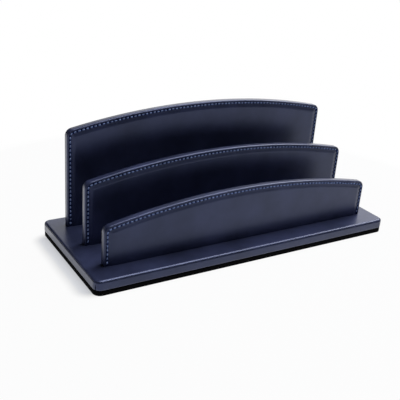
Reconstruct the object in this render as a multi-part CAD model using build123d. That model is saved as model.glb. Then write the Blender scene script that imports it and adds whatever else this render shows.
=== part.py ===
# Stepped document sorter: a leather-covered base that carries three leather-covered dividers.
# X runs along the dividers, Y from the front edge to the back, and Z up from the desk.
# The origin is on the desk, under the middle of the base.

import os
from math import hypot, sqrt

from build123d import *

# Base, in millimetres
base_width = 275.0
base_depth = 110.0
base_corner_radius = 6.0
board_thickness = 6.0
felt_thickness = 3.8
felt_setback = 0.2
edge_leather_thickness = 0.9
edge_leather_turn_in = 14.0
edge_leather_top_round = 0.4
edge_leather_bottom_round = 1.2
top_leather_thickness = 1.1
top_leather_setback = 0.6
top_leather_round = 0.7

# Dividers: where they stand, and how high their side edges rise above the base
side_margin = 14.0
front_margin = 17.8
rear_margin = 14.2
front_side_height = 31.0
middle_side_height = 51.0
rear_side_height = 80.2
crown_rise = 13.3
top_corner_radius = 6.0

# Divider layers, from the front face to the back face
face_leather_thickness = 1.0
core_thickness = 4.0
back_leather_thickness = 1.0
face_edge_round = 1.6
back_edge_round = 0.8

# Tongue and groove that hold each divider in the base board
tongue_shoulder = 13.5
groove_floor = 2.0
groove_side_clearance = 0.1
groove_end_clearance = 0.5
groove_floor_clearance = 0.2
card_clearance = 0.2

# Countersunk wood screws, driven up through the groove floor
screw_diameter = 2.2
screw_head_diameter = 4.4
screw_length = 16.0
screw_point_length = 3.0
screw_slot_width = 0.5
screw_slot_depth = 0.6
screw_clearance = 0.1
screw_end_distance = 25.0
screws_per_divider = 3

# Stitches, as they lie on the leather
stitch_length = 2.1
stitch_gap = 1.3
stitch_margin = 2.5
thread_width = 0.9
thread_height = 0.4

# Levels of the base's layers, from the desk up
felt_top = felt_thickness
board_bottom = felt_top + edge_leather_thickness
board_top = board_bottom + board_thickness
base_top = board_top + top_leather_thickness

# Divider sizes and places that follow from the base
divider_width = base_width - 2 * side_margin
divider_thickness = face_leather_thickness + core_thickness + back_leather_thickness
rear_divider_y = base_depth / 2 - rear_margin - divider_thickness
front_divider_y = front_margin - base_depth / 2
middle_divider_y = (front_divider_y + rear_divider_y) / 2
dividers = {
    "front": (front_divider_y, front_side_height),
    "middle": (middle_divider_y, middle_side_height),
    "rear": (rear_divider_y, rear_side_height),
}

# All three tops are cut to one arc, through both side edges and the crown
crown_radius = ((divider_width / 2) ** 2 + crown_rise**2) / (2 * crown_rise)
corner_x = divider_width / 2 - top_corner_radius
corner_drop = crown_radius - sqrt((crown_radius - top_corner_radius) ** 2 - corner_x**2)

tongue_length = divider_width - 2 * tongue_shoulder
tongue_bottom = board_bottom + groove_floor + groove_floor_clearance
screw_head_height = (screw_head_diameter - screw_diameter) / 2
on_floor = (Align.CENTER, Align.CENTER, Align.MIN)
behind_front = (Align.CENTER, Align.MIN, Align.MIN)


def base_slab(inset, bottom, thickness):
    """A slab of the base's plan, drawn in from its outline by the inset."""
    plan = RectangleRounded(base_width - 2 * inset, base_depth - 2 * inset, base_corner_radius - inset)
    return extrude(Pos(0, 0, bottom) * plan, thickness)


def edge_run(side_height, inset, foot):
    """The run up the left edge, over the crown and down the right edge, drawn in by the inset."""
    crown_top = base_top + side_height + crown_rise
    corner_z = crown_top - corner_drop
    half_width = divider_width / 2 - inset
    # The corner's arc ends on the line from the crown's centre through the corner's centre
    to_corner = hypot(corner_x, crown_radius - corner_drop)
    reach = (crown_radius - inset) / to_corner
    turn_x = corner_x * reach
    turn_z = crown_top - crown_radius + (crown_radius - corner_drop) * reach
    left = Line((-half_width, foot), (-half_width, corner_z))
    left_corner = TangentArc((-half_width, corner_z), (-turn_x, turn_z), tangent=(0, 1))
    crown = ThreePointArc((-turn_x, turn_z), (0, crown_top - inset), (turn_x, turn_z))
    right_corner = TangentArc((half_width, corner_z), (turn_x, turn_z), tangent=(0, 1))
    right = Line((half_width, corner_z), (half_width, foot))
    return Wire([left, left_corner, crown, right_corner, right])


def front_plane(y):
    """An upright plane at Y that faces the front, with its second axis up."""
    return Plane.XZ.offset(-y)


def divider_slab(side_height, inset, front_y, thickness):
    """A slab of a divider's outline, drawn in by the inset, standing on the base."""
    run = edge_run(side_height, inset, base_top)
    foot = Line(run @ 1, run @ 0)
    outline = make_face(run.edges() + [foot])
    return extrude(front_plane(front_y) * outline, -thickness)


def screw_places(front_y):
    """The points on the board's underside where a divider's screws go in."""
    core_y = front_y + face_leather_thickness + core_thickness / 2
    first_x = screw_end_distance - tongue_length / 2
    step = -2 * first_x / (screws_per_divider - 1)
    return [Pos(first_x + i * step, core_y, board_bottom) for i in range(screws_per_divider)]


def make_base_felt():
    return base_slab(felt_setback, 0, felt_thickness)


def make_base_edge_leather():
    """The band round the sides, with its lower margin turned under the board."""
    band = base_slab(0, felt_top, board_top - felt_top)
    band = fillet(band.faces().sort_by(Axis.Z)[0].edges(), edge_leather_bottom_round)
    band = fillet(band.faces().sort_by(Axis.Z)[-1].edges(), edge_leather_top_round)
    opening = Pos(0, 0, felt_top) * Box(
        base_width - 2 * edge_leather_turn_in,
        base_depth - 2 * edge_leather_turn_in,
        board_top - felt_top,
        align=on_floor,
    )
    return band - base_slab(edge_leather_thickness, board_bottom, board_thickness) - opening


def make_base_infill_card():
    """The card that levels the underside between the turned-under margins."""
    inset = edge_leather_turn_in + card_clearance
    card = Box(base_width - 2 * inset, base_depth - 2 * inset, edge_leather_thickness, align=on_floor)
    return Pos(0, 0, felt_top) * card


def tongue_slot(front_y, bottom, top):
    """The clearance space round a divider's tongue, between two levels."""
    core_y = front_y + face_leather_thickness + core_thickness / 2
    slot = Box(
        tongue_length + 2 * groove_end_clearance,
        core_thickness + 2 * groove_side_clearance,
        top - bottom,
        align=on_floor,
    )
    return Pos(0, core_y, bottom) * slot


def make_base_board():
    """The board, with a groove for each tongue and a countersunk hole for each screw."""
    board = base_slab(edge_leather_thickness, board_bottom, board_thickness)
    head_radius = screw_head_diameter / 2 + screw_clearance
    hole_radius = screw_diameter / 2 + screw_clearance
    countersink = Cone(head_radius, hole_radius, head_radius - hole_radius, align=on_floor)
    hole = countersink + Cylinder(hole_radius, board_thickness, align=on_floor)
    for front_y, _ in dividers.values():
        board -= tongue_slot(front_y, board_bottom + groove_floor, board_top)
        board -= [place * hole for place in screw_places(front_y)]
    return board


def make_base_top_leather():
    """The panel that lies on the board and the band, slotted for the tongues."""
    panel = base_slab(top_leather_setback, board_top, top_leather_thickness)
    panel = fillet(panel.faces().sort_by(Axis.Z)[-1].edges(), top_leather_round)
    return panel - [tongue_slot(front_y, board_top, base_top) for front_y, _ in dividers.values()]


def make_core(front_y, side_height):
    """The stiff board inside a divider, with its tongue and the screws' pilot holes."""
    core_front = front_y + face_leather_thickness
    tongue = Box(tongue_length, core_thickness, base_top - tongue_bottom, align=behind_front)
    core = divider_slab(side_height, face_leather_thickness, core_front, core_thickness)
    core += Pos(0, core_front, tongue_bottom) * tongue
    pilot = Cylinder(screw_diameter / 2 + screw_clearance, screw_length + screw_clearance, align=on_floor)
    return core - [place * pilot for place in screw_places(front_y)]


def make_face_leather(front_y, side_height):
    """The cover of the front face, wrapped over the core's side and top edges."""
    depth = face_leather_thickness + core_thickness
    cover = divider_slab(side_height, 0, front_y, depth)
    front_edges = cover.faces().sort_by(Axis.Y)[0].edges().sort_by(Axis.Z)
    cover = fillet(front_edges[1:], face_edge_round)
    core_front = front_y + face_leather_thickness
    return cover - divider_slab(side_height, face_leather_thickness, core_front, core_thickness)


def make_back_leather(front_y, side_height):
    """The cover of the back face, over the core and the rim of the front cover."""
    back_front = front_y + divider_thickness - back_leather_thickness
    cover = divider_slab(side_height, 0, back_front, back_leather_thickness)
    back_edges = cover.faces().sort_by(Axis.Y)[-1].edges().sort_by(Axis.Z)
    return fillet(back_edges[1:], back_edge_round)


def make_stitches(side_height, seat):
    """A row of stitches on the seat plane, along the sides and the crown."""
    path = edge_run(side_height, stitch_margin, base_top + stitch_gap)
    count = int(path.length // (stitch_length + stitch_gap))
    step = path.length / count
    stitch = extrude(SlotOverall(stitch_length, thread_width), thread_height)
    stitches = []
    for i in range(count):
        middle = (i + 0.5) * step
        place = path.position_at(middle, position_mode=PositionMode.LENGTH)
        along = path.tangent_at(middle, position_mode=PositionMode.LENGTH)
        local = Plane(origin=place, x_dir=along, z_dir=(0, 0, 1))
        stitches.append(seat.location * local.location * stitch)
    return Compound(stitches)


def make_needle_thread(front_y, side_height):
    """The stitches on the front face."""
    return make_stitches(side_height, front_plane(front_y))


def make_bobbin_thread(front_y, side_height):
    """The stitches on the back face, on a plane that faces the back."""
    back_y = front_y + divider_thickness
    return make_stitches(side_height, Plane(origin=(0, back_y, 0), x_dir=(-1, 0, 0), z_dir=(0, 1, 0)))


def make_screws(front_y):
    """A divider's screws, with their heads flush under the board."""
    shank_length = screw_length - screw_head_height - screw_point_length
    head = Cone(screw_head_diameter / 2, screw_diameter / 2, screw_head_height, align=on_floor)
    shank = Pos(0, 0, screw_head_height) * Cylinder(screw_diameter / 2, shank_length, align=on_floor)
    point = Pos(0, 0, screw_length - screw_point_length) * Cone(
        screw_diameter / 2, 0, screw_point_length, align=on_floor
    )
    slot = Box(screw_head_diameter, screw_slot_width, screw_slot_depth, align=on_floor)
    screw = head + shank + point - slot
    return Compound([place * screw for place in screw_places(front_y)])


nodes = {
    "base_felt": make_base_felt(),
    "base_edge_leather": make_base_edge_leather(),
    "base_infill_card": make_base_infill_card(),
    "base_board": make_base_board(),
    "base_top_leather": make_base_top_leather(),
}
for tier, (front_y, side_height) in dividers.items():
    nodes[f"{tier}_divider_core"] = make_core(front_y, side_height)
    nodes[f"{tier}_divider_face_leather"] = make_face_leather(front_y, side_height)
    nodes[f"{tier}_divider_back_leather"] = make_back_leather(front_y, side_height)
    nodes[f"{tier}_divider_needle_thread"] = make_needle_thread(front_y, side_height)
    nodes[f"{tier}_divider_bobbin_thread"] = make_bobbin_thread(front_y, side_height)
    nodes[f"{tier}_divider_screws"] = make_screws(front_y)

os.makedirs("parts", exist_ok=True)
for name, shape in nodes.items():
    export_step(shape, f"parts/{name}.step")
    print(name, len(shape.solids()), "solids", round(shape.volume, 1), "mm3")
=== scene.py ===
# %% [markdown]
# # A leather document sorter
# Three leather-covered dividers stand in steps on a leather-covered base with felt under it.
# The CAD model already gives the sizes and places. This lesson dresses it: each leather cover,
# row of stitches and pad is modelled as the soft thing it is, in the same frame, in metres.

# %% Load the frame
from math import atan2, ceil, cos, pi, radians, sin, sqrt

import bmesh
import bpy
from mathutils import Matrix, Vector
from mathutils.kdtree import KDTree


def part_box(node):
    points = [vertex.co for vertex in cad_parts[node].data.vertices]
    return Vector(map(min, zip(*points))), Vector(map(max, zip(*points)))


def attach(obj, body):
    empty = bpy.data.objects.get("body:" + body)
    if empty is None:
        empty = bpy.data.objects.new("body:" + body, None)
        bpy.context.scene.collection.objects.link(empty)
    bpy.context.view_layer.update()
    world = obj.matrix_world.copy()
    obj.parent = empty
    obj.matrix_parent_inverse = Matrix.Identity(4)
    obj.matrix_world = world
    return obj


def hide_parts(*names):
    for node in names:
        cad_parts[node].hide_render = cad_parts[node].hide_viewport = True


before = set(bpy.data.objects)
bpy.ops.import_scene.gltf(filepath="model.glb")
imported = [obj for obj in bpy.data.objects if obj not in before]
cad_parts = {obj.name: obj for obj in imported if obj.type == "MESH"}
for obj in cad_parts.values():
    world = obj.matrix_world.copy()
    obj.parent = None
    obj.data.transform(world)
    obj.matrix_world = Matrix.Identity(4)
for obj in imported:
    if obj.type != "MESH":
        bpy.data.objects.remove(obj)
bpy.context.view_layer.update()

MM = 0.001

# %% [markdown]
# ## Camera
# The camera comes first, because every later choice is judged through it. It stands to the left of
# the sorter and looks down on it, a little tilted. Its place and angles could be set by eye. Here they
# come from fitting the base's edges and the dividers' sides to the photograph.

# %% Set the camera
camera_place = Vector((-302.7, -438.1, 257.2)) * MM
camera_azimuth = radians(32.615)
camera_drop = radians(23.263)
camera_roll = radians(4.448)
camera_lens = 61.95

ahead = Vector((
    sin(camera_azimuth) * cos(camera_drop), cos(camera_azimuth) * cos(camera_drop), -sin(camera_drop),
))
level_right = ahead.cross(Vector((0, 0, 1))).normalized()
level_up = level_right.cross(ahead)
right = cos(camera_roll) * level_right + sin(camera_roll) * level_up
up = right.cross(ahead)

bpy.ops.object.camera_add()
camera = bpy.context.object
camera.matrix_world = Matrix.Translation(camera_place) @ Matrix((right, up, -ahead)).transposed().to_4x4()
camera.data.lens = camera_lens
camera.data.clip_start = 10 * MM
bpy.context.scene.camera = camera
bpy.context.scene.view_settings.view_transform = "Standard"
print("camera", round(camera_place.length, 3), "m from the origin")

# %% [markdown]
# ## Small helpers
# Blender's operators act on whatever is selected. These helpers start from an empty selection and
# pick vertices, edges or faces by their place, as one would click on them by hand.


# %% Helpers for modelling
def add_solid(name, low, high):
    """A cube stretched between two corners, with its place in its mesh."""
    bpy.ops.object.select_all(action="DESELECT")
    bpy.ops.mesh.primitive_cube_add(size=1, location=(low + high) / 2, scale=high - low)
    bpy.ops.object.transform_apply()
    piece = bpy.context.object
    piece.name = piece.data.name = name
    return piece


def pick(piece, kind, test):
    """In edit mode, selects the vertices, edges or faces that pass the test."""
    bpy.ops.mesh.select_mode(type=kind)
    bpy.ops.mesh.select_all(action="DESELECT")
    shape = bmesh.from_edit_mesh(piece.data)
    items = {"VERT": shape.verts, "EDGE": shape.edges, "FACE": shape.faces}[kind]
    found = [item for item in items if test(item)]
    for item in found:
        item.select_set(True)
    shape.select_flush_mode()
    bmesh.update_edit_mesh(piece.data)
    return len(found)


def same(one, other):
    """True where two lengths agree to a hundredth of a millimetre."""
    return abs(one - other) < 0.01 * MM


def finish_piece(piece, node, material, smooth_angle=radians(40)):
    """Shades the piece, gives it its material and ties it to the frame."""
    bpy.ops.object.select_all(action="DESELECT")
    piece.select_set(True)
    bpy.context.view_layer.objects.active = piece
    bpy.ops.object.shade_smooth_by_angle(angle=smooth_angle)
    piece.data.materials.clear()
    piece.data.materials.append(material)
    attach(piece, "root")
    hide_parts(node)
    triangles = sum(len(face.vertices) - 2 for face in piece.data.polygons)
    print(piece.name, triangles, "triangles")


# %% [markdown]
# ## Colours and nodes
# Colours are picked as sRGB hex values, as from a swatch, and Blender works in linear light. One
# function converts them. Another adds a shader node with its settings and its links in one call.


# %% Helpers for materials
def linear(hex_colour):
    """An sRGB hex colour as linear RGBA."""
    shares = [int(hex_colour[i:i + 2], 16) / 255 for i in (1, 3, 5)]
    return [s / 12.92 if s <= 0.04045 else ((s + 0.055) / 1.055) ** 2.4 for s in shares] + [1]


def add_node(tree, kind, settings=None, **inputs):
    """A node with its settings. An input is a value, or another node's output."""
    node = tree.nodes.new(kind)
    for name, value in (settings or {}).items():
        setattr(node, name, value)
    for name, value in inputs.items():
        socket = node.inputs[int(name[1:])] if name[1:].isdigit() else node.inputs[name.replace("_", " ")]
        if isinstance(value, bpy.types.NodeSocket):
            tree.links.new(value, socket)
        else:
            socket.default_value = value
    return node


def new_material(name):
    """An empty node material, with its tree and the piece's own coordinates."""
    material = bpy.data.materials.new(name)
    material.use_nodes = True
    tree = material.node_tree
    tree.nodes.clear()
    place = add_node(tree, "ShaderNodeTexCoord").outputs["Object"]
    return material, tree, place


tone_positions = (0.3, 0.7)


def two_tones(tree, factor, dark, light):
    """A colour that runs from a dark tone to a light one over the middle of a pattern's range."""
    ramp = add_node(tree, "ShaderNodeValToRGB", Fac=factor)
    for element, position, tone in zip(ramp.color_ramp.elements, tone_positions, (dark, light)):
        element.position = position
        element.color = linear(tone)
    return ramp.outputs["Color"]


# %% [markdown]
# ## Navy leather
# Smooth calf leather, drum-dyed navy and finished with a clear satin coat. The dye is so dark that
# much of what the eye sees is reflection: pale where it mirrors the floor, nearly black where it
# mirrors the next divider. A picture could fake that, but only from one side. A dark base with a
# blue-tinted gloss under a clear coat gives it from all sides, and fine pores and wrinkles keep the
# mirror gentle. Around each needle hole the coat is left off and a deep blue is painted in, as painted
# shade in the hole.


# %% Make the leather
def make_leather():
    """Dyed calf with a satin coat: deep blue in the light, a soft mirror, fine grain close up."""
    # Calf's pores are finer than this, too fine to show, so they are drawn coarser
    pore_size = 0.8 * MM
    wrinkle_size = 2.6 * MM
    cloud_size = 22 * MM
    # The value at which a needle hole's painted shade starts to show, and the one from which it shows fully
    pit_shade_start, pit_shade_full = 0.1, 0.32
    material, tree, place = new_material("navy_calf_leather_satin_coated")
    cloud = add_node(tree, "ShaderNodeTexNoise", Vector=place, Scale=1 / cloud_size, Detail=3)
    colour = two_tones(tree, cloud.outputs["Fac"], "#292e46", "#3b4161")
    pores = add_node(
        tree, "ShaderNodeTexVoronoi", {"feature": "SMOOTH_F1"}, Vector=place, Scale=1 / pore_size
    )
    wrinkles = add_node(tree, "ShaderNodeTexNoise", Vector=place, Scale=1 / wrinkle_size, Detail=4)
    grain = add_node(
        tree, "ShaderNodeBump", Height=pores.outputs["Distance"], Strength=0.25, Distance=0.02 * MM
    )
    soft = add_node(
        tree, "ShaderNodeBump", Height=wrinkles.outputs["Fac"], Strength=0.3, Distance=0.06 * MM,
        Normal=grain.outputs["Normal"],
    )
    satin = add_node(tree, "ShaderNodeMapRange", Value=wrinkles.outputs["Fac"], To_Min=0.3, To_Max=0.42)
    # Painted shade in the needle holes: the colour goes to a deep blue and the coat goes off
    painted_pit_shade = add_node(tree, "ShaderNodeAttribute", {"attribute_name": "needle_hole_painted_shade"})
    outside_pit_shade = add_node(
        tree, "ShaderNodeMapRange", Value=painted_pit_shade.outputs["Fac"],
        From_Min=pit_shade_start, From_Max=pit_shade_full, To_Min=1, To_Max=0,
    ).outputs["Result"]
    # Inputs 0, 6 and 7 of a colour mix are its factor and its two colours, and output 2 is the colour
    pit_shaded_colour = add_node(
        tree, "ShaderNodeMix", {"data_type": "RGBA"}, _0=outside_pit_shade, _6=linear("#0e1d4c"), _7=colour
    ).outputs[2]
    skin = add_node(
        tree, "ShaderNodeBsdfPrincipled", Base_Color=pit_shaded_colour, Roughness=satin.outputs["Result"],
        IOR=1.5, Specular_Tint=linear("#88a6ff"), Normal=soft.outputs["Normal"],
        Coat_Weight=outside_pit_shade, Coat_IOR=1.32, Coat_Roughness=0.29, Coat_Normal=soft.outputs["Normal"],
    )
    add_node(tree, "ShaderNodeOutputMaterial", Surface=skin.outputs["BSDF"])
    return material


leather = make_leather()
print("leather:", leather.name)

# %% [markdown]
# ## Thread
# The seams are sewn with a bonded polyester thread, much lighter than the leather. Its plies are
# twisted, so fine slanting lines of light and shade run across each stitch. A wave pattern on the
# diagonal draws them on stitches of every direction without a UV map.


# %% Make the thread
def make_thread():
    """Twisted polyester: nearly matt, with the plies' slanting light and shade painted in a lighter and a
    darker blue.
    """
    ply_spacing = 0.45 * MM
    # A wave texture of scale 1 has ten radians to a metre of x + y + z
    wave_radians = 10
    wave_scale = 2 * pi / (wave_radians * sqrt(3) * ply_spacing)
    material, tree, place = new_material("denim_blue_polyester_thread_twisted")
    plies = add_node(
        tree, "ShaderNodeTexWave", {"bands_direction": "DIAGONAL"},
        Vector=place, Scale=wave_scale, Distortion=0.5,
    )
    # Painted light and shade: the plies' lines are drawn in the colour as well as in the bump
    colour = two_tones(tree, plies.outputs["Fac"], "#7f96d2", "#a2b8ea")
    twist = add_node(tree, "ShaderNodeBump", Height=plies.outputs["Fac"], Strength=0.4, Distance=0.05 * MM)
    fibre = add_node(
        tree, "ShaderNodeBsdfPrincipled", Base_Color=colour, Roughness=0.6, Normal=twist.outputs["Normal"]
    )
    add_node(tree, "ShaderNodeOutputMaterial", Surface=fibre.outputs["BSDF"])
    return material


thread = make_thread()
print("thread:", thread.name)

# %% [markdown]
# ## Felt
# The pad under the base is pressed wool felt. It swallows nearly all light, and only a fuzz of fibres
# breaks its edge. Fine noise in the colour and in the bump stands for the fibres.


# %% Make the felt
def make_felt():
    """Pressed black wool: matt, with a fine uneven nap."""
    # Single fibres are too fine to show, so this is the size of a tuft of them
    fibre_size = 0.35 * MM
    material, tree, place = new_material("black_wool_felt_pressed")
    fuzz = add_node(tree, "ShaderNodeTexNoise", Vector=place, Scale=1 / fibre_size, Detail=6)
    colour = two_tones(tree, fuzz.outputs["Fac"], "#020203", "#0c0c0f")
    nap = add_node(tree, "ShaderNodeBump", Height=fuzz.outputs["Fac"], Strength=0.6, Distance=0.3 * MM)
    wool = add_node(
        tree, "ShaderNodeBsdfPrincipled", Base_Color=colour, Roughness=0.95, Normal=nap.outputs["Normal"],
        Specular_IOR_Level=0.1,
    )
    add_node(tree, "ShaderNodeOutputMaterial", Surface=wool.outputs["BSDF"])
    return material


felt = make_felt()
print("felt:", felt.name)

# %% [markdown]
# ## What lies inside
# The boards, the card and the screws are hidden in the finished sorter, but they are there when it is
# taken apart. Their shapes are right as the CAD has them, so they keep their meshes and get the
# finish of the real thing: pressed brown fibreboard, greyboard with flecks, and zinc-plated steel.


# %% Make the boards and the zinc
def make_board(name, fibre_size, dark, light):
    """A pressed board: matt, mottled by its fibres."""
    material, tree, place = new_material(name)
    fibres = add_node(tree, "ShaderNodeTexNoise", Vector=place, Scale=1 / fibre_size, Detail=5)
    colour = two_tones(tree, fibres.outputs["Fac"], dark, light)
    tooth = add_node(tree, "ShaderNodeBump", Height=fibres.outputs["Fac"], Strength=0.3, Distance=0.1 * MM)
    board = add_node(
        tree, "ShaderNodeBsdfPrincipled", Base_Color=colour, Roughness=0.85, Normal=tooth.outputs["Normal"]
    )
    add_node(tree, "ShaderNodeOutputMaterial", Surface=board.outputs["BSDF"])
    return material


def make_zinc():
    """Bright zinc plate on steel: a soft metal shine, clouded by the plating bath."""
    cloud_size = 1.5 * MM
    material, tree, place = new_material("zinc_plated_steel")
    cloud = add_node(tree, "ShaderNodeTexNoise", Vector=place, Scale=1 / cloud_size, Detail=3)
    colour = two_tones(tree, cloud.outputs["Fac"], "#a9aeb4", "#c6cad0")
    shine = add_node(tree, "ShaderNodeMapRange", Value=cloud.outputs["Fac"], To_Min=0.28, To_Max=0.42)
    plate = add_node(
        tree, "ShaderNodeBsdfPrincipled", Base_Color=colour, Metallic=1.0, Roughness=shine.outputs["Result"]
    )
    add_node(tree, "ShaderNodeOutputMaterial", Surface=plate.outputs["BSDF"])
    return material


fibreboard = make_board("brown_fibreboard_pressed", fibre_size=0.9 * MM, dark="#7d5f40", light="#9c7a54")
greyboard = make_board("greyboard_pressed", fibre_size=1.6 * MM, dark="#85827c", light="#a19e97")
zinc = make_zinc()
print("inside:", fibreboard.name, greyboard.name, zinc.name)

# %% Dress the hidden parts
tiers = ("front", "middle", "rear")
inside = {"base_board": fibreboard, "base_infill_card": greyboard}
inside.update({f"{tier}_divider_core": fibreboard for tier in tiers})
inside.update({f"{tier}_divider_screws": zinc for tier in tiers})
for node, material in inside.items():
    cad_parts[node].material_slots[0].material = material
print(len(inside), "hidden nodes dressed")

# %% [markdown]
# ## A divider's outline
# The dividers share one outline: straight sides, a long shallow crown, and a small round where they
# meet. It could be typed in as points. Here one vertex is pulled up the side and spun round the
# corner's centre and the crown's centre, so every run is a true line or arc, tangent to the next.

# %% Sizes that the dividers share
half_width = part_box("front_divider_face_leather")[1].x
crown_rise = 13.3 * MM
top_corner_radius = 6 * MM
crown_radius = (half_width**2 + crown_rise**2) / (2 * crown_rise)
corner_x = half_width - top_corner_radius
corner_drop = crown_radius - sqrt((crown_radius - top_corner_radius) ** 2 - corner_x**2)
crown_lean = atan2(corner_x, crown_radius - corner_drop)
corner_turn = pi / 2 - crown_lean
foot_overrun = 8.6 * MM
mesh_step = 0.5 * MM
print("crown radius", round(crown_radius / MM), "mm, half sweep", round(crown_lean, 4))


# %% Draw the outline
def draw_outline(name, y, foot, crown_top):
    """A flat face of the divider's outline at depth y, drawn on past its foot."""
    corner_z = crown_top - corner_drop
    start = Vector((-half_width, y, foot - foot_overrun))
    rise = corner_z - start.z
    bpy.ops.object.select_all(action="DESELECT")
    bpy.ops.mesh.primitive_plane_add(size=mesh_step, location=start)
    bpy.ops.object.transform_apply()
    piece = bpy.context.object
    piece.name = piece.data.name = name
    bpy.ops.object.mode_set(mode="EDIT")
    bpy.ops.mesh.select_all(action="SELECT")
    bpy.ops.mesh.merge(type="CENTER")
    bpy.ops.mesh.extrude_vertices_move(TRANSFORM_OT_translate={"value": (0, 0, rise)})
    turns = (
        (-corner_x, corner_z, corner_turn, top_corner_radius),
        (0, crown_top - crown_radius, 2 * crown_lean, crown_radius),
        (corner_x, corner_z, corner_turn, top_corner_radius),
    )
    for x, z, angle, radius in turns:
        steps = ceil(angle * radius / mesh_step)
        bpy.ops.mesh.spin(steps=steps, angle=-angle, center=(x, y, z), axis=(0, 1, 0))
    bpy.ops.mesh.extrude_vertices_move(TRANSFORM_OT_translate={"value": (0, 0, -rise)})
    while pick(piece, "EDGE", lambda edge: edge.calc_length() > 2 * mesh_step):
        bpy.ops.mesh.subdivide()
    bpy.ops.mesh.select_all(action="SELECT")
    bpy.ops.mesh.edge_face_add()
    return piece


# %% [markdown]
# ## The stitch line
# A lockstitch runs up one side, over the crown and down the other, at one distance from the edge. The
# same line serves twice: the needle holes dimple the leather along it, and the stitches lie on it.

# %% Walk along the stitch line
stitch_length = 2.1 * MM
stitch_gap = 1.3 * MM
stitch_margin = 2.5 * MM


def stitch_line(foot, crown_top):
    """The line's length, and a function from a distance along it to a point and a heading."""
    corner_z = crown_top - corner_drop
    start_z = foot + stitch_gap
    side_length = corner_z - start_z
    corner_radius = top_corner_radius - stitch_margin
    arc_radius = crown_radius - stitch_margin
    corner_length = corner_radius * corner_turn
    total = 2 * (side_length + corner_length + arc_radius * crown_lean)

    def walk(distance):
        mirrored = distance > total / 2
        along = total - distance if mirrored else distance
        if along < side_length:
            x, z, heading = stitch_margin - half_width, start_z + along, pi / 2
        elif along < side_length + corner_length:
            turn = (along - side_length) / corner_radius
            heading = pi / 2 - turn
            x = -corner_x - corner_radius * cos(turn)
            z = corner_z + corner_radius * sin(turn)
        else:
            swing = (along - total / 2) / arc_radius
            heading = -swing
            x = arc_radius * sin(swing)
            z = crown_top - crown_radius + arc_radius * cos(swing)
        return (-x, z, -heading) if mirrored else (x, z, heading)

    return total, walk


def stitch_count(total):
    """How many whole stitches a line of this length takes."""
    return int(total // (stitch_length + stitch_gap))


for tier in tiers:
    low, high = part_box(f"{tier}_divider_face_leather")
    total = stitch_line(low.z, high.z)[0]
    print(tier, "seam", round(total / MM), "mm,", stitch_count(total), "stitches")

# %% [markdown]
# ## Leather covers of the dividers
# Each face cover is a skin that wraps over the edge of a stiff board. The wrap is rounder over the top
# than a cut edge, and the seam pulls the leather down, so that the face swells up behind it. From the
# outline a short wall is extruded. Then one ring after another draws the round, the rim, the seam and
# the swell: insets while the rings follow the edge, and scaled extrusions further in, where an inset
# would tangle at the corners. The leather is only a millimetre thick, so the needle holes are shallow
# dimples, and a value stored on their vertices lets the material paint shade into them. What was drawn
# below the foot is cut off level with the base.

# %% Shape a cover's edge
face_edge_round = 1.2 * MM
face_edge_depth = 1.8 * MM
back_edge_round = 0.8 * MM
back_edge_depth = 0.8 * MM
rim_drop = 0.2 * MM
seam_depth = 0.75 * MM
swell_width = 5.0 * MM
round_rings = 9
ring_step = 0.32 * MM


def edge_profile(edge_round, edge_depth):
    """Rings from the side inwards: how far in each one lies, and how high above the wall."""
    rim = edge_depth - rim_drop
    seam = edge_depth - seam_depth
    turns = [pi / 2 * (i + 1) / round_rings for i in range(round_rings)]
    rings = [(edge_round * (1 - cos(turn)), rim * sin(turn)) for turn in turns]
    slopes = (
        (edge_round, stitch_margin, rim, seam),
        (stitch_margin, stitch_margin + swell_width, seam, edge_depth),
    )
    for start, end, from_level, to_level in slopes:
        count = ceil((end - start) / ring_step)
        for i in range(1, count + 1):
            blend = (1 - cos(pi * i / count)) / 2
            rings.append((start + (end - start) * i / count, from_level + (to_level - from_level) * blend))
    return rings


print("rings of a face cover:", len(edge_profile(face_edge_round, face_edge_depth)))

# %% Prick the needle holes
leather_thickness = 1.0 * MM
hole_reach = 0.75 * MM
hole_depth = 0.2 * MM
# How far round a needle hole the painted shade reaches
pit_shade_reach = 1.4 * MM


def prick_holes(cover, face_y, outward, total, walk):
    """In edit mode, presses a dimple into the face at each needle hole and marks painted shade round it."""
    count = stitch_count(total)
    holes = KDTree(count + 1)
    for i in range(count + 1):
        x, z, _ = walk(total * i / count)
        holes.insert((x, face_y, z), i)
    holes.balance()

    def near_hole(vert, reach):
        on_face = abs(vert.co.y - face_y) < leather_thickness
        return on_face and holes.find((vert.co.x, face_y, vert.co.z))[2] < reach

    for reach in (hole_reach, hole_reach / 2):
        pick(cover, "VERT", lambda vert: near_hole(vert, reach))
        bpy.ops.transform.translate(value=(0, -outward * hole_depth / 2, 0))
    # Painted shade: each vertex near a hole stores how strongly the material darkens it
    shape = bmesh.from_edit_mesh(cover.data)
    painted_pit_shade = shape.verts.layers.float.new("needle_hole_painted_shade")
    for vert in shape.verts:
        if near_hole(vert, pit_shade_reach):
            vert[painted_pit_shade] = 1 - holes.find((vert.co.x, face_y, vert.co.z))[2] / pit_shade_reach
    bmesh.update_edit_mesh(cover.data)


# %% Make one cover
wall_start = 0.5 * MM
inset_limit = 5.2 * MM
rim_bevel = 0.2 * MM
rim_bevel_segments = 2
facing_share = 0.9
cut_tolerance = 0.001 * MM


def push(reach):
    """In edit mode, extrudes what is selected along Y."""
    bpy.ops.mesh.extrude_region_move(TRANSFORM_OT_translate={"value": (0, reach, 0)})


def draw_rings(rings, outward, foot, height):
    """In edit mode, draws the selected face inwards and up, ring by ring."""
    offset, level = 0, 0
    for ring_offset, ring_level in rings:
        step, climb = ring_offset - offset, ring_level - level
        if ring_offset < inset_limit:
            bpy.ops.mesh.inset(thickness=step, depth=climb)
        else:
            push(outward * climb)
            shrink = (1 - step / half_width, 1, 1 - step / height)
            bpy.ops.transform.resize(value=shrink, center_override=(0, 0, foot))
        offset, level = ring_offset, ring_level


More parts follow.
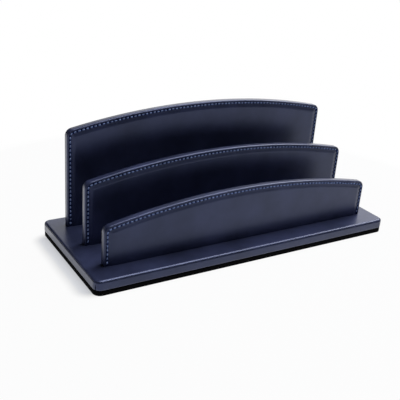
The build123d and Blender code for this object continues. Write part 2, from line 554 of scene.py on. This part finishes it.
def make_cover(name, node, seat_y, face_y, edge_round, edge_depth, pocket_depth):
    """A cover that lies on the plane seat_y and shows its face at face_y."""
    low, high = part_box(node)
    outward = 1 if face_y > seat_y else -1
    cover = draw_outline(name, seat_y, low.z, high.z)
    wall_end = face_y - outward * edge_depth
    ledge = outward * min(wall_start, abs(wall_end - seat_y) / 2)
    push(ledge)
    push(wall_end - seat_y - ledge)
    bpy.ops.mesh.select_all(action="SELECT")
    bpy.ops.mesh.normals_make_consistent(inside=False)

    def on_wall_end(face):
        return same(face.calc_center_median().y, wall_end) and abs(face.normal.y) > facing_share

    def on_seat(item):
        return all(same(vert.co.y, seat_y) for vert in item.verts)

    pick(cover, "FACE", on_wall_end)
    draw_rings(edge_profile(edge_round, edge_depth), outward, low.z, high.z - low.z)
    pick(cover, "EDGE", on_seat)
    bpy.ops.mesh.bevel(offset=rim_bevel, segments=rim_bevel_segments)
    if pocket_depth:
        pick(cover, "FACE", on_seat)
        bpy.ops.mesh.inset(thickness=leather_thickness - rim_bevel)
        push(outward * pocket_depth)
    prick_holes(cover, face_y, outward, *stitch_line(low.z, high.z))
    bpy.ops.mesh.select_all(action="SELECT")
    bpy.ops.mesh.bisect(
        plane_co=(0, 0, low.z), plane_no=(0, 0, 1), use_fill=True, clear_inner=True, threshold=cut_tolerance
    )
    bpy.ops.mesh.select_all(action="SELECT")
    bpy.ops.mesh.fill_holes(sides=0)
    bpy.ops.object.mode_set(mode="OBJECT")
    finish_piece(cover, node, leather)


# %% Cover the dividers
for tier in tiers:
    core_low, core_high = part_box(f"{tier}_divider_core")
    node = f"{tier}_divider_face_leather"
    low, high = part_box(node)
    make_cover(
        f"{tier}_divider_face_cover", node, high.y, low.y, face_edge_round, face_edge_depth,
        pocket_depth=core_high.y - core_low.y,
    )
    node = f"{tier}_divider_back_leather"
    low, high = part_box(node)
    make_cover(
        f"{tier}_divider_back_cover", node, low.y, high.y, back_edge_round, back_edge_depth,
        pocket_depth=0,
    )

# %% [markdown]
# ## Stitches
# One stitch is a short arched piece of thread that rises from one needle hole and dives into the next.
# A small circle spun through part of a turn gives that arch. It is copied along the stitch line, each
# copy with its own mesh, and the copies are joined to one row.

# %% Model one stitch
thread_radius = 0.55 * MM
thread_sides = 8
stitch_rings = 6
stitch_chord = 1.1 * MM
stitch_rise = 0.55 * MM
stitch_top = -0.3 * MM


def make_stitch(chord):
    """A stitch along X with its arch up Z, centred on the needle line at the face's level."""
    arch_radius = ((chord / 2) ** 2 + stitch_rise**2) / (2 * stitch_rise)
    half_turn = atan2(chord / 2, arch_radius - stitch_rise)
    centre = Vector((0, 0, stitch_top - arch_radius))
    start = centre + arch_radius * Vector((-sin(half_turn), 0, cos(half_turn)))
    bpy.ops.object.select_all(action="DESELECT")
    bpy.ops.mesh.primitive_circle_add(
        vertices=thread_sides, radius=thread_radius, fill_type="NGON", location=start,
        rotation=(0, pi / 2 - half_turn, 0),
    )
    bpy.ops.object.transform_apply()
    stitch = bpy.context.object
    bpy.ops.object.mode_set(mode="EDIT")
    bpy.ops.mesh.select_all(action="SELECT")
    bpy.ops.mesh.spin(steps=stitch_rings, angle=-2 * half_turn, center=centre, axis=(0, 1, 0))
    bpy.ops.mesh.select_all(action="SELECT")
    bpy.ops.mesh.fill_holes(sides=0)
    bpy.ops.mesh.select_all(action="SELECT")
    bpy.ops.mesh.normals_make_consistent(inside=False)
    bpy.ops.object.mode_set(mode="OBJECT")
    return stitch


# %% Sew the rows
stitch_smooth_angle = radians(60)


def sew_row(name, node, cover_node, face_y, outward):
    """A row of stitches on a face, joined to one piece."""
    low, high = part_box(cover_node)
    total, walk = stitch_line(low.z, high.z)
    count = stitch_count(total)
    step = total / count
    model = make_stitch(stitch_chord)
    out = Vector((0, outward, 0))
    copies = []
    for i in range(count):
        x, z, heading = walk((i + 0.5) * step)
        along = Vector((cos(heading), 0, sin(heading)))
        turned = Matrix((along, out.cross(along), out)).transposed().to_4x4()
        copy = model.copy()
        copy.data = model.data.copy()
        copy.matrix_world = Matrix.Translation((x, face_y, z)) @ turned
        bpy.context.scene.collection.objects.link(copy)
        copies.append(copy)
    bpy.data.objects.remove(model)
    bpy.ops.object.select_all(action="DESELECT")
    for copy in copies:
        copy.select_set(True)
    row = copies[0]
    bpy.context.view_layer.objects.active = row
    bpy.ops.object.transform_apply()
    bpy.ops.object.join()
    row.name = row.data.name = name
    finish_piece(row, node, thread, stitch_smooth_angle)


for tier in tiers:
    cover_node = f"{tier}_divider_face_leather"
    face_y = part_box(cover_node)[0].y
    sew_row(f"{tier}_divider_needle_stitches", f"{tier}_divider_needle_thread", cover_node, face_y, -1)
    cover_node = f"{tier}_divider_back_leather"
    face_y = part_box(cover_node)[1].y
    sew_row(f"{tier}_divider_bobbin_stitches", f"{tier}_divider_bobbin_thread", cover_node, face_y, 1)

# %% [markdown]
# ## Base top
# The base is a board with a leather band folded round its sides and a leather panel laid on top. The
# panel's rounded edge catches the light as a thin bright line, with a dark joint under it. A slab with
# bevelled corners and a bevelled rim gives that edge, and the grooves for the dividers are cut out.

# %% Helpers for slabs
corner_segments = 24
rim_segments = 3


def upright(edge):
    """True for an edge that stands along Z."""
    first, second = (vert.co for vert in edge.verts)
    return same(first.x, second.x) and same(first.y, second.y)


def round_plan(slab, corner_radius):
    """In edit mode, rounds a slab's four upright edges."""
    pick(slab, "EDGE", upright)
    bpy.ops.mesh.bevel(offset=corner_radius, segments=corner_segments)


def pick_level(slab, kind, level):
    """In edit mode, selects the edges or faces of a slab that lie at one height."""
    pick(slab, kind, lambda item: all(same(vert.co.z, level) for vert in item.verts))


def round_rim(slab, level, radius, segments=rim_segments):
    """In edit mode, rounds the rim of a slab's top or bottom."""
    pick_level(slab, "EDGE", level)
    bpy.ops.mesh.bevel(offset=radius, segments=segments)


def cut_box(piece, low, high):
    """Cuts a box out of a piece."""
    cutter = add_solid("cutter", low, high)
    bpy.ops.object.select_all(action="DESELECT")
    piece.select_set(True)
    bpy.context.view_layer.objects.active = piece
    cut = piece.modifiers.new("cut", "BOOLEAN")
    cut.object = cutter
    bpy.ops.object.modifier_apply(modifier="cut")
    bpy.data.objects.remove(cutter)


# %% Make the top panel
base_corner_radius = 6 * MM
base_low, base_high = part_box("base_edge_leather")
panel_edge_lip = 0.35 * MM
panel_foot_round = 0.2 * MM
# The bevelled edge, ring by ring: how far in each one lies, and how high above the cut edge
panel_edge_rings = [
    (0.10 * MM, 0.15 * MM), (0.22 * MM, 0.27 * MM), (1.10 * MM, 0.78 * MM), (1.50 * MM, 0.87 * MM),
]
tongue_shoulder = 13.5 * MM
groove_end_clearance = 0.5 * MM
groove_side_clearance = 0.1 * MM

low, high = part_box("base_top_leather")
lip = Vector((panel_edge_lip, panel_edge_lip, 0))
edge_top = high.z - panel_edge_rings[-1][1]
panel = add_solid("base_top_panel", low - lip, Vector((high.x, high.y, edge_top)) + lip)
bpy.ops.object.mode_set(mode="EDIT")
round_plan(panel, base_corner_radius - (base_high.x - high.x) + panel_edge_lip)
round_rim(panel, low.z, panel_foot_round)
pick_level(panel, "FACE", edge_top)
offset, level = 0, 0
for ring_offset, ring_level in panel_edge_rings:
    bpy.ops.mesh.inset(thickness=ring_offset - offset, depth=ring_level - level)
    offset, level = ring_offset, ring_level
bpy.ops.mesh.inset(thickness=leather_thickness)
bpy.ops.object.mode_set(mode="OBJECT")
tongue_half = half_width - tongue_shoulder + groove_end_clearance
for tier in tiers:
    core_low, core_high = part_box(f"{tier}_divider_core")
    cut_box(
        panel,
        Vector((-tongue_half, core_low.y - groove_side_clearance, low.z - leather_thickness)),
        Vector((tongue_half, core_high.y + groove_side_clearance, high.z + leather_thickness)),
    )
finish_piece(panel, "base_top_leather", leather)

# %% [markdown]
# ## Base edge
# The band is one strip, drawn round the board and turned in under it. Leather can't follow a rounded
# corner without a fold, so each corner has one crease, deep at the turned edge and shallow at the top,
# where the hand that wrapped it left it. A column of vertices on each corner is pushed in for that.

# %% Make the edge band
band_thickness = 0.9 * MM
band_turn_in = 14 * MM
band_bottom_round = 1.2 * MM
band_bottom_segments = 5
band_top_round = 0.7 * MM
# How deep a crease is, from the turned edge up
crease_depths = [depth * MM for depth in (0.75, 0.75, 0.7, 0.45, 0.15)]

band = add_solid("base_edge_band", base_low, base_high)
bpy.ops.object.mode_set(mode="EDIT")
round_plan(band, base_corner_radius)
round_rim(band, base_low.z, band_bottom_round, band_bottom_segments)
round_rim(band, base_high.z, band_top_round)
wall_low = base_low.z + band_bottom_round
wall_step = (base_high.z - band_top_round - wall_low) / len(crease_depths)
for i in range(1, len(crease_depths)):
    bpy.ops.mesh.select_all(action="SELECT")
    bpy.ops.mesh.bisect(plane_co=(0, 0, wall_low + i * wall_step), plane_no=(0, 0, 1))
print("band wall in", len(crease_depths), "steps of", round(wall_step / MM, 2), "mm")

# %% Fold the corners
# The segment of each corner's round that is folded, from the right back corner round by the left
crease_segments = (15, 22, 9, 3)


def press_crease(centre, turn, level, depth, with_rim):
    """In edit mode, pushes one height of one column of a corner's vertices inwards."""
    out = Vector((cos(turn), sin(turn), 0))

    def on_crease(vert):
        away = vert.co - centre
        aside = away.x * out.y - away.y * out.x
        at_level = same(vert.co.z, level) or (with_rim and vert.co.z < level)
        return at_level and same(aside, 0) and away.dot(out) > 0

    pick(band, "VERT", on_crease)
    bpy.ops.transform.translate(value=-depth * out)


for corner, segment in enumerate(crease_segments):
    turn = pi / 2 * (corner + segment / corner_segments)
    centre = base_high - Vector((base_corner_radius, base_corner_radius, base_high.z))
    centre.x *= 1 if cos(turn) > 0 else -1
    centre.y *= 1 if sin(turn) > 0 else -1
    for i, depth in enumerate(crease_depths):
        press_crease(centre, turn, wall_low + i * wall_step, depth, i == 0)

# %% Hollow the band
pick_level(band, "FACE", base_high.z)
bpy.ops.mesh.inset(thickness=band_thickness - band_top_round)
hollow = base_low.z + band_thickness - base_high.z
bpy.ops.mesh.extrude_region_move(TRANSFORM_OT_translate={"value": (0, 0, hollow)})
bpy.ops.object.mode_set(mode="OBJECT")
turn_in = Vector((band_turn_in, band_turn_in, 0))
cut_box(band, base_low + turn_in - Vector((0, 0, band_thickness)), base_high - turn_in)
finish_piece(band, "base_edge_leather", leather)

# %% [markdown]
# ## Felt pad
# The pad is cut from sheet felt with a blade, so its edges are crisp and only a little soft at the
# rims. It is a slab with rounded corners, nearly flush with the band, and the sorter stands on it.

# %% Make the felt pad
felt_rim = 0.1 * MM
low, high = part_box("base_felt")
pad = add_solid("base_felt_pad", low, high)
bpy.ops.object.mode_set(mode="EDIT")
round_plan(pad, base_corner_radius - (base_high.x - high.x))
round_rim(pad, low.z, felt_rim)
round_rim(pad, high.z, felt_rim)
bpy.ops.object.mode_set(mode="OBJECT")
finish_piece(pad, "base_felt", felt)

# %% [markdown]
# ## Stage
# The sorter stands on white paper under two soft boxes: a large one high on the right, a little behind
# it, and a small one overhead that picks out the stitches along the crowns. What the leather mirrors
# matters more than how much light falls on it: a white floor, a white backdrop behind, and a dark room
# on the camera's side. The paper goes to pure white further off. Along the sorter's left edge a soft
# bluish shadow is painted into the paper's glow, over the real shade that the lamps cast there.

# %% Make the paper
paper_colour = "#c8cad0"
white_reach = (140 * MM, 300 * MM)
painted_shadow_front = Vector((-138, -42, 0)) * MM
painted_shadow_back = Vector((-138, 40, 0)) * MM
painted_shadow_reach = (4 * MM, 15 * MM)
painted_shadow_glow = (0.57, 0.95)


def seen_by(tree, *rays):
    """One for a ray of the given kinds, and nought for any other."""
    path = add_node(tree, "ShaderNodeLightPath")
    seen = path.outputs[f"Is {rays[0]} Ray"]
    for ray in rays[1:]:
        other = path.outputs[f"Is {ray} Ray"]
        seen = add_node(tree, "ShaderNodeMath", {"operation": "MAXIMUM"}, _0=seen, _1=other).outputs[0]
    return seen


def make_paper():
    """White paper: a bluish shadow painted beside the sorter's left edge over its real shade, and white
    further off.
    """
    material, tree, place = new_material("white_paper_sweep")
    paper = add_node(tree, "ShaderNodeBsdfDiffuse", Color=linear(paper_colour))
    # The point of the painted shadow's line that is nearest: the place, held between the line's two ends
    nearest = place
    for operation, end in (("MAXIMUM", painted_shadow_front), ("MINIMUM", painted_shadow_back)):
        clamp = add_node(tree, "ShaderNodeVectorMath", {"operation": operation}, _0=nearest, _1=end)
        nearest = clamp.outputs["Vector"]
    fades = []
    for middle, reach, glow in (((0, 0, 0), white_reach, (0, 1)), (nearest, painted_shadow_reach, painted_shadow_glow)):
        away = add_node(tree, "ShaderNodeVectorMath", {"operation": "DISTANCE"}, _0=place, _1=middle)
        fades.append(add_node(
            tree, "ShaderNodeMapRange", {"interpolation_type": "SMOOTHSTEP"}, Value=away.outputs["Value"],
            From_Min=reach[0], From_Max=reach[1], To_Min=glow[0], To_Max=glow[1],
        ).outputs["Result"])
    joined = add_node(tree, "ShaderNodeMath", {"operation": "MAXIMUM"}, _0=fades[0], _1=fades[1])
    fade = joined.outputs["Value"]
    # Painted shadow: the glow drops and turns bluish along the sorter's left edge
    white = add_node(tree, "ShaderNodeEmission", Color=two_tones(tree, fade, "#e6edfd", "#ffffff"))
    sweep = add_node(tree, "ShaderNodeMixShader", _0=fade, _1=paper.outputs[0], _2=white.outputs[0])
    seen = seen_by(tree, "Camera", "Glossy", "Transmission")
    mixed = add_node(tree, "ShaderNodeMixShader", _0=seen, _1=paper.outputs[0], _2=sweep.outputs[0])
    add_node(tree, "ShaderNodeOutputMaterial", Surface=mixed.outputs[0])
    return material


# %% Lay the floor
floor_size = 12
bpy.ops.object.select_all(action="DESELECT")
bpy.ops.mesh.primitive_plane_add(size=floor_size)
floor = bpy.context.object
floor.name = "floor"
floor.data.materials.append(make_paper())
print("floor", floor_size, "m across")

# %% Light the room
backdrop_way = Vector((0.60, 0.77, 0.25)).normalized()
backdrop_spread = (0.80, 0.99)
room_levels = (0.02, 1.1)


def make_room():
    """A white backdrop behind the sorter that darkens towards the camera's side."""
    world = bpy.data.worlds.new("studio")
    world.use_nodes = True
    tree = world.node_tree
    tree.nodes.clear()
    way = add_node(tree, "ShaderNodeTexCoord").outputs["Generated"]
    facing = add_node(tree, "ShaderNodeVectorMath", {"operation": "DOT_PRODUCT"}, _0=way, _1=backdrop_way)
    level = add_node(
        tree, "ShaderNodeMapRange", {"interpolation_type": "SMOOTHSTEP"}, Value=facing.outputs["Value"],
        From_Min=backdrop_spread[0], From_Max=backdrop_spread[1],
        To_Min=room_levels[0], To_Max=room_levels[1],
    )
    seen = seen_by(tree, "Camera", "Transmission")
    strength = add_node(tree, "ShaderNodeMix", _0=seen, _2=level.outputs["Result"], _3=1.0)
    sky = add_node(tree, "ShaderNodeBackground", Color=(1, 1, 1, 1), Strength=strength.outputs[0])
    add_node(tree, "ShaderNodeOutputWorld", Surface=sky.outputs[0])
    return world


bpy.context.scene.world = make_room()
print("room:", bpy.context.scene.world.name)


# %% Hang the lamps
def add_softbox(name, place, size, power):
    """A rectangular lamp that looks at the sorter. Its place and size are in metres."""
    bpy.ops.object.light_add(type="AREA", location=place)
    lamp = bpy.context.object
    lamp.name = name
    lamp.data.shape = "RECTANGLE"
    lamp.data.size, lamp.data.size_y = size
    lamp.data.energy = power
    lamp.rotation_euler = (-Vector(place)).to_track_quat("-Z", "Y").to_euler()
    print(name, power, "W")


add_softbox("right_softbox", place=(1.0, 0.32, 1.52), size=(0.7, 1.4), power=24)
add_softbox("overhead_softbox", place=(0.2, -0.18, 1.6), size=(0.5, 0.5), power=9)
